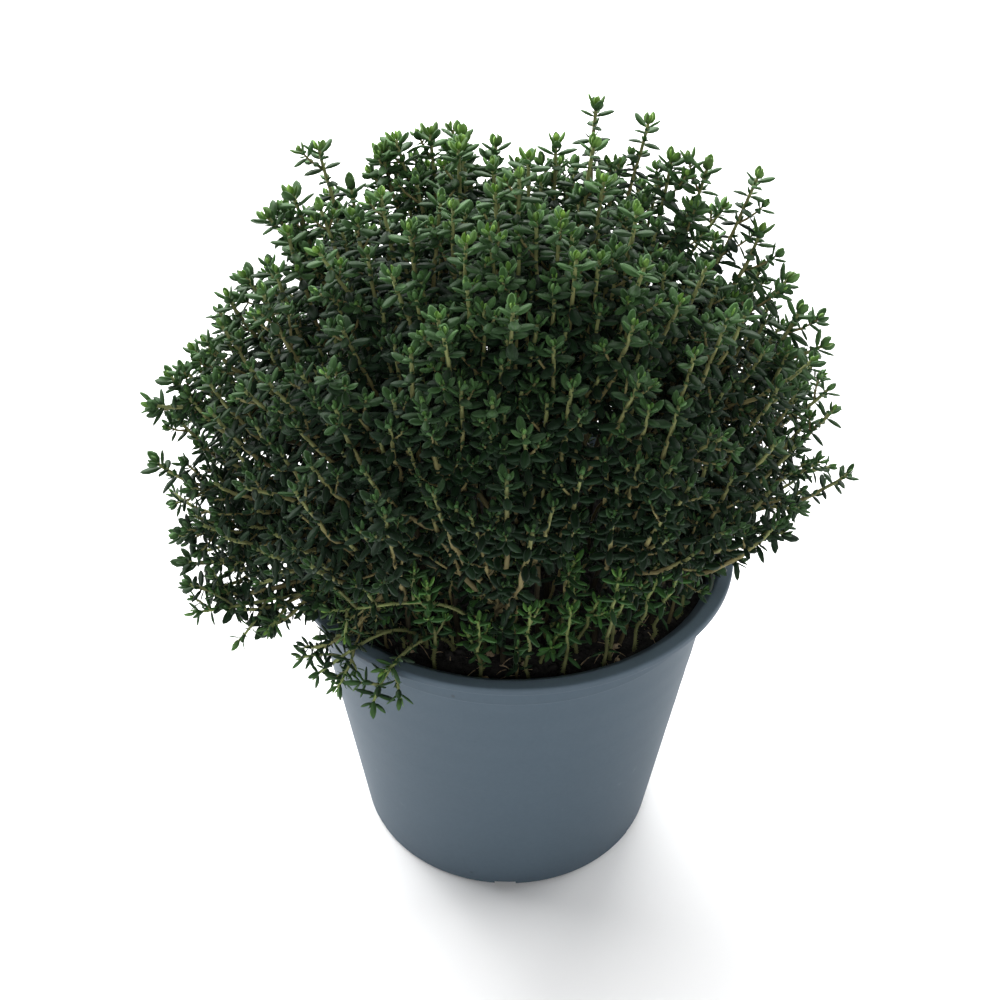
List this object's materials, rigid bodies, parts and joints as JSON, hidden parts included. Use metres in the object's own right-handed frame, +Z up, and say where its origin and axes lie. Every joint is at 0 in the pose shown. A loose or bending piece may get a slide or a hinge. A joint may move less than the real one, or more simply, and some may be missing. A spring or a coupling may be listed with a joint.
{
  "type": "potted thyme",
  "caption": "Bushy thyme plant with many small paired leaves on fine forking stems, growing in peat in a plain round tapered plastic nursery pot.",
  "frame": {"origin": "middle of the pot's underside, on the flat pad that stands on the surface", "axes": "+Z up along the pot's axis, +X to the plant's right and +Y to its back, so that the side shown in the picture faces -Y"},
  "size_m": [0.2288, 0.1872, 0.2478],
  "materials": {
    "pot_plastic": "slate grey moulded plastic, satin, lightly scuffed and dusted with peat",
    "peat": null,
    "thyme_foliage": null,
    "young_foliage": null
  },
  "bodies": {
    "root": {"pot": "pot_plastic", "soil": "peat", "leafy_stem_01": "thyme_foliage", "leafy_stem_02": "thyme_foliage", "leafy_stem_03": "thyme_foliage", "leafy_stem_04": "thyme_foliage", "leafy_stem_05": "thyme_foliage", "leafy_stem_06": "thyme_foliage", "leafy_stem_07": "thyme_foliage", "leafy_stem_08": "thyme_foliage", "leafy_stem_09": "thyme_foliage", "leafy_stem_10": "thyme_foliage", "leafy_stem_11": "thyme_foliage", "leafy_stem_12": "thyme_foliage", "leafy_stem_13": "thyme_foliage", "leafy_stem_14": "thyme_foliage", "leafy_stem_15": "thyme_foliage", "leafy_stem_16": "thyme_foliage", "leafy_stem_17": "thyme_foliage", "leafy_stem_18": "thyme_foliage", "leafy_stem_19": "thyme_foliage", "leafy_stem_20": "thyme_foliage", "leafy_stem_21": "thyme_foliage", "leafy_stem_22": "thyme_foliage", "leafy_stem_23": "thyme_foliage", "leafy_stem_24": "thyme_foliage", "leafy_stem_25": "thyme_foliage", "leafy_stem_26": "thyme_foliage", "leafy_stem_27": "thyme_foliage", "leafy_stem_28": "thyme_foliage", "leafy_stem_29": "thyme_foliage", "leafy_stem_30": "thyme_foliage", "leafy_stem_31": "thyme_foliage", "leafy_stem_32": "thyme_foliage", "leafy_stem_33": "thyme_foliage", "leafy_stem_34": "thyme_foliage", "leafy_stem_35": "thyme_foliage", "leafy_stem_36": "thyme_foliage", "leafy_stem_37": "thyme_foliage", "leafy_stem_38": "thyme_foliage", "leafy_stem_39": "thyme_foliage", "leafy_stem_40": "thyme_foliage", "leafy_stem_41": "thyme_foliage", "leafy_stem_42": "thyme_foliage", "young_shoot_1": "young_foliage", "young_shoot_2": "young_foliage", "young_shoot_3": "young_foliage", "young_shoot_4": "young_foliage", "young_shoot_5": "young_foliage", "rim_sprig_1": "thyme_foliage", "rim_sprig_2": "thyme_foliage"}
  },
  "joints": []
}
